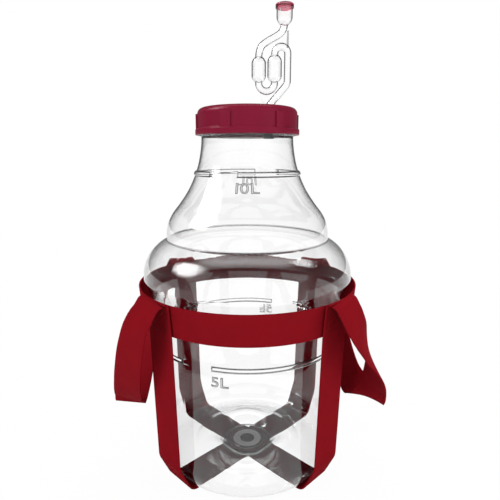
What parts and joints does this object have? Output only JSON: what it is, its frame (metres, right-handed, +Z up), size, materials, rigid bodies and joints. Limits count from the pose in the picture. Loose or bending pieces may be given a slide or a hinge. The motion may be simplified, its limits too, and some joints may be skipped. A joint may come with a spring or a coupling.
{
  "type": "plastic demijohn",
  "caption": "Clear wide-necked plastic demijohn with a screw cap, a double-bulb airlock and a webbing carrying harness with side loops.",
  "frame": {"origin": "middle of the strap crossing under the base, on the floor, on the bottle's axis", "axes": "+Z up along the bottle's axis, the front with the graduation figures towards -Y, the carrying loops on the left and right along X"},
  "size_m": [0.3196, 0.2396, 0.4968],
  "materials": {
    "clear_bottle": "clear blow-moulded plastic, glossy",
    "gasket_white": "white soft seal, matt",
    "cap_burgundy": "burgundy moulded plastic, satin gloss",
    "bung_rubber": "dark grey rubber, matt",
    "airlock_clear": "clear moulded plastic, glossy",
    "dust_cap_red": "translucent red plastic, glossy",
    "webbing_red": "dark red woven webbing, matt"
  },
  "bodies": {
    "harness": {"band_strap": "webbing_red", "base_strap_1": "webbing_red", "base_strap_2": "webbing_red"},
    "left_loop": {"left_handle": "webbing_red"},
    "right_loop": {"right_handle": "webbing_red"},
    "vessel": {"bottle": "clear_bottle"},
    "seal": {"cap_gasket": "gasket_white"},
    "cap": {"screw_cap": "cap_burgundy"},
    "bung": {"airlock_bung": "bung_rubber"},
    "airlock": {"airlock_tube": "airlock_clear"},
    "dust_cap": {"airlock_cap": "dust_cap_red"}
  },
  "joints": [
    {"name": "bottle_lift", "type": "slide", "parent": "harness", "child": "vessel", "axis": [0, 0, 1], "range_m": [0, 0.215]},
    {"name": "cap_rise", "type": "slide", "parent": "vessel", "child": "seal", "axis": [0, 0, 1], "range_m": [0, 0.0245]},
    {"name": "cap_turn", "type": "hinge", "parent": "seal", "child": "cap", "pos_m": [0, 0, 0.38], "axis": [0, 0, 1], "range_deg": [0, 1080]},
    {"name": "bung_lift", "type": "slide", "parent": "cap", "child": "bung", "axis": [0, 0, 1], "range_m": [0, 0.034]},
    {"name": "airlock_swivel", "type": "hinge", "parent": "bung", "child": "airlock", "pos_m": [0.0228, 0, 0.396], "axis": [0, 0, 1], "continuous": true},
    {"name": "dust_cap_lift", "type": "slide", "parent": "airlock", "child": "dust_cap", "axis": [0, 0, 1], "range_m": [0, 0.02]},
    {"name": "left_loop_swing", "type": "hinge", "parent": "harness", "child": "left_loop", "pos_m": [-0.08952, 0, 0.212], "axis": [0, 1, 0], "range_deg": [0, 90]},
    {"name": "right_loop_swing", "type": "hinge", "parent": "harness", "child": "right_loop", "pos_m": [0.08952, 0, 0.212], "axis": [0, -1, 0], "range_deg": [0, 90]}
  ],
  "couplings": [
    {"joint": "cap_rise", "follows": "cap_turn", "m_per_rad": 0.0012732}
  ]
}
